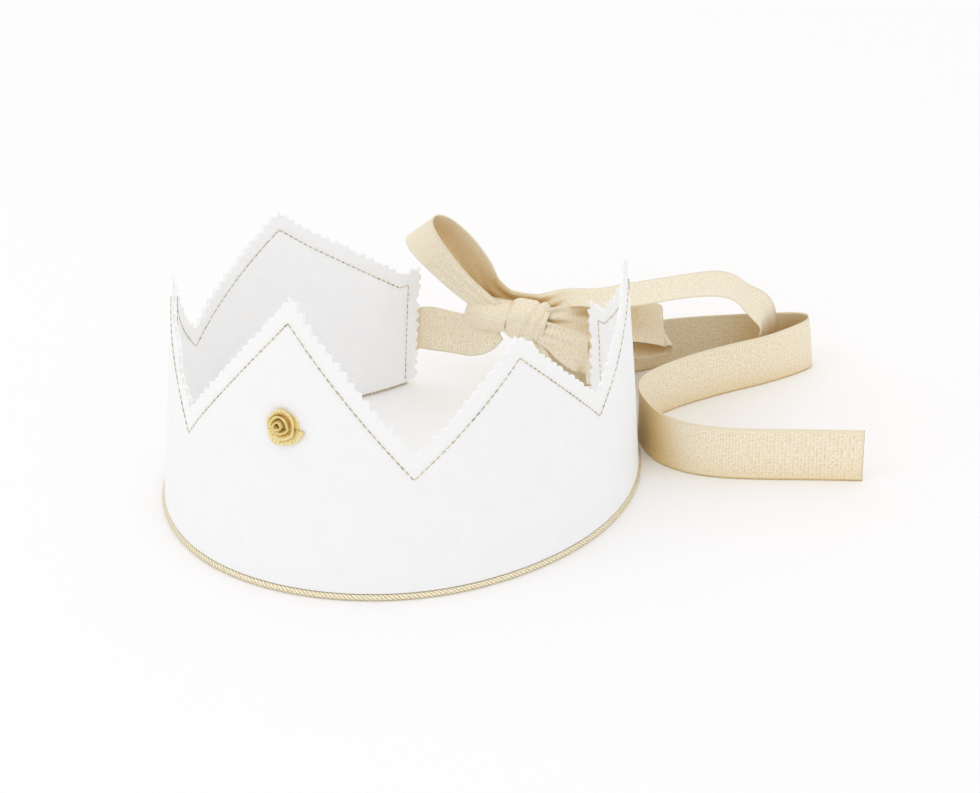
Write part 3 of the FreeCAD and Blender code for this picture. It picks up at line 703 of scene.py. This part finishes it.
SHORT_TAIL = [
    (22.5, 100.2, 35.5, -0.05, 0.25, 0.97, 11.0),
    (28.0, 101.0, 39.2, -0.35, 0.85, 0.40, 10.0),
    (35.5, 101.4, 41.0, -0.50, 0.85, 0.10, 12.0),
    (45.0, 102.5, 42.0, -0.60, 0.80, 0.05, 17.0),
    (54.0, 108.5, 42.4, -0.66, 0.75, 0.00, 20.0),
    (64.4, 116.8, 43.2, -0.69, 0.72, 0.00, 20.0),
    (75.5, 126.8, 42.6, -0.62, 0.78, 0.06, 20.0),
    (82.5, 135.8, 38.3, -0.37, 0.92, 0.13, 20.0),
    (87.3, 140.8, 32.2, -0.32, 0.93, 0.19, 20.0),
    (91.3, 146.3, 25.5, -0.05, 0.98, 0.15, 19.0),
    (92.0, 148.8, 17.0, 0.05, 0.99, 0.05, 19.5),
    (92.0, 149.6, 8.5, 0.05, 0.99, 0.00, 19.0),
    (92.0, 149.8, 0.6, 0.05, 0.99, 0.00, 19.0),
]
RIGHT_TIE = tucked((RIGHT_END - TUCK_MM, RIGHT_END - TUCK_MM / 2, RIGHT_END, RIGHT_END + EXIT_RUN_MM)) + [
    (41.5, 89.2, 23.2, 0.00, 0.00, 1.00, 17.0),
    (36.0, 89.0, 25.5, 0.00, 0.00, 1.00, 15.5),
    (29.5, 88.3, 28.6, 0.00, 0.00, 1.00, 12.0),
    (22.0, 88.0, 31.0, 0.00, 0.00, 1.00, 9.0),
]
LYING_LOOP = [
    (20.0, 89.4, 34.0, 0.00, 0.10, 1.00, 8.5),
    (27.0, 90.2, 34.4, -0.10, 0.20, 0.98, 10.5),
    (34.0, 94.4, 33.8, -0.25, 0.50, 0.83, 14.0),
    (42.0, 101.2, 32.8, -0.38, 0.68, 0.62, 17.0),
    (50.0, 109.8, 30.4, -0.43, 0.76, 0.49, 18.5),
    (56.5, 117.5, 27.6, -0.43, 0.76, 0.49, 20.0),
    (60.0, 121.5, 25.0, -0.43, 0.76, 0.49, 20.0),
    (58.8, 121.2, 22.4, -0.43, 0.76, 0.49, 20.0),
    (53.0, 116.0, 22.0, -0.43, 0.76, 0.49, 20.0),
    (45.5, 108.3, 23.6, -0.43, 0.76, 0.49, 18.0),
    (38.0, 100.2, 26.6, -0.38, 0.62, 0.68, 14.5),
    (30.8, 93.3, 28.7, -0.20, 0.30, 0.93, 10.0),
    (24.0, 90.3, 29.3, 0.00, 0.00, 1.00, 7.5),
]
TAIL_MIDDLE = 10.1


def on_edge(points):
    """Give stations of ribbon that stands on its edge on the floor. Each point is x, y and a slight tilt."""
    return [(x, y, TAIL_MIDDLE, tilt, 0.0, 1.0, RIBBON_WIDTH) for x, y, tilt in points]


LONG_TAIL = [
    (20.0, 90.9, 28.5, 0.00, 0.00, 1.00, 5.0),
    (25.0, 89.4, 24.8, 0.00, 0.00, 1.00, 8.0),
    (28.5, 91.0, 18.8, 0.00, 0.00, 1.00, 10.0),
    (31.2, 95.5, 14.8, 0.00, 0.00, 1.00, 12.5),
    (34.5, 106.0, 12.0, 0.00, 0.00, 1.00, 18.0),
    (38.5, 117.0, 10.4, 0.00, 0.00, 1.00, 20.0),
] + on_edge((
    (45.0, 129.0, 0.0), (54.0, 139.0, 0.0), (66.0, 147.5, 0.0), (80.0, 155.8, 0.0), (91.0, 162.0, 0.0),
    (99.0, 165.6, -0.06), (104.0, 165.2, -0.10), (105.6, 160.5, -0.10), (102.0, 151.5, -0.06),
    (95.0, 139.5, 0.0), (84.5, 126.0, 0.0), (75.0, 112.0, 0.0), (68.3, 99.0, 0.0), (65.2, 88.5, 0.0),
    (66.8, 79.0, 0.0), (72.3, 70.4, 0.0), (80.8, 62.0, 0.0), (92.0, 58.0, 0.0), (105.0, 58.8, 0.0),
    (120.0, 63.6, 0.0), (137.0, 70.4, 0.0), (153.0, 76.5, 0.0)))

# %% Laying a ribbon along a route
STEPS = 8
PLEATS = 3.0


def smooth(stations):
    """Follow a Catmull-Rom curve through the stations."""
    padded = [stations[0]] + list(stations) + [stations[-1]]
    rows = []
    for a, b, c, d in zip(padded, padded[1:], padded[2:], padded[3:]):
        for step in range(STEPS):
            s = step / STEPS
            rows.append([0.5 * (2 * q + (r - p) * s + (2 * p - 5 * q + 4 * r - t) * s * s
                                + (3 * q - p - 3 * r + t) * s ** 3) for p, q, r, t in zip(a, b, c, d)])
    return rows + [list(stations[-1])]


def strand(name, stations, pleats_from=0, lap=0.0):
    """Lay one strand of ribbon. Pleats start after the stations that are held flat."""
    rows = smooth(stations)
    middles = [Vector(row[:3]) for row in rows]
    length = sum((b - a).length for a, b in zip(middles, middles[1:]))
    frames = []
    for number, row in enumerate(rows):
        forward = (middles[min(number + 1, len(rows) - 1)] - middles[max(number - 1, 0)]).normalized()
        across = Vector(row[3:6])
        across = (across - forward * across.dot(forward)).normalized()
        width = row[6]
        spare = max(0.0, RIBBON_WIDTH / width - 1)
        gather = 1.0 if number > pleats_from * STEPS else 0.0
        wave = gather * 0.35 * width / (math.pi * PLEATS) * math.sqrt(spare)
        frames.append((middles[number], across, forward.cross(across), width, wave))
    steps = len(rows) - 1

    def place(u, v):
        middle, across, through, width, wave = frames[round(u * steps)]
        pleat = wave * math.sin(2 * math.pi * PLEATS * v + 6 * u + lap)
        curl = 0.35 * (2 * v - 1) ** 2
        return middle + across * (width * (v - 0.5)) + through * (pleat + curl)

    piece = laid_grid(name, steps, 24, place, (length, RIBBON_WIDTH))
    applied(piece, "SOLIDIFY", thickness=RIBBON_THICKNESS * MM, offset=0)
    print(name, "length, mm:", round(length))
    return piece, length


# %% [markdown]
# ## The bow's neck
# The left ribbon folds back on itself to make the standing loop, and that fold is the soft bundle left of
# the knot. The right ribbon goes once round it: a short sleeve with two creases where its turns overlap.

# %% The bundle and the wrap
NECK_Y, NECK_Z = 92.0, 32.5
BUNDLE_LEFT, BUNDLE_LENGTH = -7.6, 18
WRAP_LEFT, WRAP_LENGTH = 8.4, 17.6
WRAP_HALF_DEPTH, WRAP_HALF_HEIGHT = 6.3, 8.0


def bundle_place(u, v):
    """Seat a point of the folded bundle: a flat fold at its left, round where it enters the wrap."""
    angle = 2 * math.pi * v
    opened = min(1.0, math.sin(min(1.0, 0.08 + 1.4 * u) * math.pi / 2))
    depth = 1.2 + 4.6 * opened
    height = 4.6 + 2.4 * math.sin(0.5 * math.pi * min(1.0, 3.0 * u)) - 1.2 * u * u
    pleat = 1 + 0.05 * math.sin(5 * angle + 3 * u) * u
    x = BUNDLE_LEFT + BUNDLE_LENGTH * u + 1.2 * math.sin(angle)
    return Vector((x, NECK_Y - depth * pleat * math.cos(angle), NECK_Z + height * pleat * math.sin(angle)))


def wrap_place(u, v):
    """Seat a point of the wrap: a sleeve with two creases, turned in at its ends."""
    angle = 2 * math.pi * v
    lean = 0.12 * math.sin(angle)
    deep_crease = 0.13 * math.exp(-((u - 0.58 - lean) / 0.05) ** 2)
    light_crease = 0.08 * math.exp(-((u - 0.84 - lean) / 0.04) ** 2)
    swell = 1 - deep_crease - light_crease
    closing = 0.62 + 0.38 * min(1.0, math.sin(math.pi * min(1.0, max(0.0, u) * 4.0) / 2))
    closing *= 0.72 + 0.28 * min(1.0, (1 - u) * 5.0)
    x = WRAP_LEFT + WRAP_LENGTH * u + 1.0 * math.sin(angle)
    return Vector((x, NECK_Y - WRAP_HALF_DEPTH * swell * closing * math.cos(angle),
                   NECK_Z + WRAP_HALF_HEIGHT * swell * closing * math.sin(angle)))


def sleeve(name, place, girth):
    """Roll a grid to a sleeve. The ribbon runs round it, so its width lies along the neck."""
    piece = laid_grid(name, 40, 48, place, (girth, RIBBON_WIDTH), closed=True, turned=True)
    applied(piece, "SOLIDIFY", thickness=RIBBON_THICKNESS * MM, offset=-1)
    return piece


# %% The two ribbons
WRAP_TURN, BUNDLE_TURN = 46.0, 40.0
left_tie, left_tie_length = strand("left_tie", LEFT_TIE, pleats_from=4)
left_run, left_run_length = strand("left_run", STANDING_LOOP + SHORT_TAIL, lap=1.0)
bundle = sleeve("bundle", bundle_place, BUNDLE_TURN)
left_ribbon = joined("left_ribbon", [left_tie, left_run, bundle])
dress(left_ribbon, TIE_RIBBON, "gold_ribbon", "left_ribbon_tie")
right_tie, right_tie_length = strand("right_tie", RIGHT_TIE, pleats_from=4)
lying_run, lying_length = strand("lying_run", LYING_LOOP, lap=2.0)
long_run, long_length = strand("long_run", LONG_TAIL, lap=0.5)
wrap = sleeve("wrap", wrap_place, WRAP_TURN)
right_ribbon = joined("right_ribbon", [right_tie, lying_run, long_run, wrap])
dress(right_ribbon, TIE_RIBBON, "gold_ribbon", "right_ribbon_tie")

# %% [markdown]
# ## The rose
# A short ribbon is rolled on itself and its rim pressed outwards, so the turns open like petals round a deep
# heart. It is wound here as one long grid, and its loose end is tucked to a small point at the right.

# %% Rose
ROSE_HEIGHT, ROSE_SHIFT, ROSE_TURNS = 60.3, 0.6, 3.4
ROSE_HEART, ROSE_ROOT, ROSE_FLARE, ROSE_DEPTH = 0.6, 3.4, 3.9, 3.7
ROSE_RIBBON_WIDTH, ROSE_FOLD = 8.0, 0.75
ROSE_BACK_RADIUS, ROSE_BACK_THICKNESS = 5.4, 0.4
ROSE_BOTTOM = LAYER_MIDDLE + CLOTH_THICKNESS / 2 + 0.3
ROSE_SIDE, ROSE_UP, _ = wall_axes(ROSE_SHIFT)


def rose_place(u, v):
    """Seat a point of the rolled ribbon: u along the roll, v from the cloth to the rim."""
    angle = 2 * math.pi * ROSE_TURNS * (u - 1) - 0.15
    ending = max(0.0, (u - 0.94) / 0.06)
    ruffle = (0.45 * math.sin(2.3 * angle) + 0.25 * math.sin(5.2 * angle)) * u * v
    flare = (ROSE_FLARE * u ** 1.3 + 1.3 * ending) * v * (1 - 0.25 * v)
    radius = ROSE_HEART + ROSE_ROOT * u + flare + ruffle
    rim = ROSE_DEPTH - 2.7 * u + 0.35 * math.sin(3.1 * angle + 1)
    depth = rim * math.sin(0.5 * math.pi * min(1.0, 1.15 * v)) * (1 - 0.5 * ending)
    heart = Vector((-1.2 * (1 - u), 0.4 * (1 - u)))
    middle = on_wall(ROSE_SHIFT, ROSE_HEIGHT, ROSE_BOTTOM + depth)
    return (middle + ROSE_SIDE * (heart.x + radius * math.cos(angle))
            + ROSE_UP * (heart.y + radius * math.sin(angle)))


def rose_back_place(u, v):
    """Seat a point of the round backing that the roll is sewn to."""
    angle = 2 * math.pi * v
    middle = on_wall(ROSE_SHIFT, ROSE_HEIGHT, ROSE_BOTTOM + 0.5 * (1 - u * u))
    return middle + (ROSE_SIDE * math.cos(angle) + ROSE_UP * math.sin(angle)) * ROSE_BACK_RADIUS * u


# The last gold given is painted shade, mixed in where the turns of the roll close round each other.
ROSE_RIBBON = woven_foil("yellow gold foil ribbon", "#FFF3BC", "#CDA94C", "#F4E3A0", "#E6C458",
                         ROSE_RIBBON_WIDTH, 0.2)
roll_length = 2 * math.pi * ROSE_TURNS * (ROSE_HEART + ROSE_ROOT)
rose_roll = laid_grid("rose_roll", 168, 8, rose_place, (roll_length, ROSE_RIBBON_WIDTH))
applied(rose_roll, "SOLIDIFY", thickness=ROSE_FOLD * MM, offset=0)
rose_back = laid_grid("rose_back", 6, 36, rose_back_place, (ROSE_RIBBON_WIDTH, ROSE_RIBBON_WIDTH),
                      closed=True)
applied(rose_back, "SOLIDIFY", thickness=ROSE_BACK_THICKNESS * MM, offset=-1)
rose = joined("rose", [rose_roll, rose_back])
dress(rose, ROSE_RIBBON, "gold_rose", "rosette")

# %% [markdown]
# ## The stiffener
# The interlining is hidden between the layers. It stays as the solid model has it, with a plain felted look.

# %% Interlining material


def felt():
    """Make pressed fibre felt: matte, off-white, with a soft grain."""
    material, shader = new_material("pressed fibre interlining", 0.95)
    place = add_node(material, "ShaderNodeTexCoord")
    grain = add_node(material, "ShaderNodeTexNoise", {"Scale": 700.0, "Detail": 4.0},
                     {"Vector": place.outputs["Object"]})
    tone = add_node(material, "ShaderNodeMix", {
        "data_type": "RGBA", 6: linear("#EFEEEA"), 7: linear("#F6F5F2")}, {"Factor": grain.outputs["Fac"]})
    link(material, tone.outputs[2], shader.inputs["Base Color"])
    return material


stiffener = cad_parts["interlining"]
stiffener.data.materials.clear()
stiffener.data.materials.append(felt())

# %% [markdown]
# ## Floor and light
# The photograph has a white sweep, soft light from all round and a faint shadow. A pale floor and a white
# world give that, with one broad lamp from the front left and above.

# %% Floor, world and lamp
FLOOR_ACROSS = 8
# The room looks fully white to the camera and in reflections, and lights the crown a little less than that.
ROOM_LIGHT = 0.98
LAMP_AT, LAMP_AIM = (-0.7, -0.9, 1.3), Vector((0, 0, 0.04))
LAMP_ACROSS, LAMP_WATTS = 0.9, 1.6
bpy.ops.object.select_all(action="DESELECT")
bpy.ops.mesh.primitive_plane_add(size=FLOOR_ACROSS)
floor = bpy.context.active_object
floor.name = "floor"
floor_material, _ = new_material("pale floor", 0.9, {"Base Color": linear("#FDFCFC")})
floor.data.materials.append(floor_material)

world = bpy.data.worlds.new("soft room")
bpy.context.scene.world = world
world.use_nodes = True
room = world.node_tree.nodes["Background"]
room.inputs["Color"].default_value = (1, 1, 1, 1)
rays = add_node(world, "ShaderNodeLightPath")
seen = add_node(world, "ShaderNodeMath", {"operation": "MAXIMUM"},
                {0: rays.outputs["Is Camera Ray"], 1: rays.outputs["Is Glossy Ray"]})
level = add_node(world, "ShaderNodeMapRange", {"To Min": ROOM_LIGHT, "To Max": 1.0},
                 {"Value": seen.outputs[0]})
link(world, level.outputs[0], room.inputs["Strength"])

bpy.ops.object.light_add(type="AREA", location=LAMP_AT)
key = bpy.context.active_object
key.data.shape = "DISK"
key.data.size = LAMP_ACROSS
key.data.energy = LAMP_WATTS
key.rotation_euler = (LAMP_AIM - key.location).to_track_quat("-Z", "Y").to_euler()

bpy.context.scene.view_settings.view_transform = "Standard"
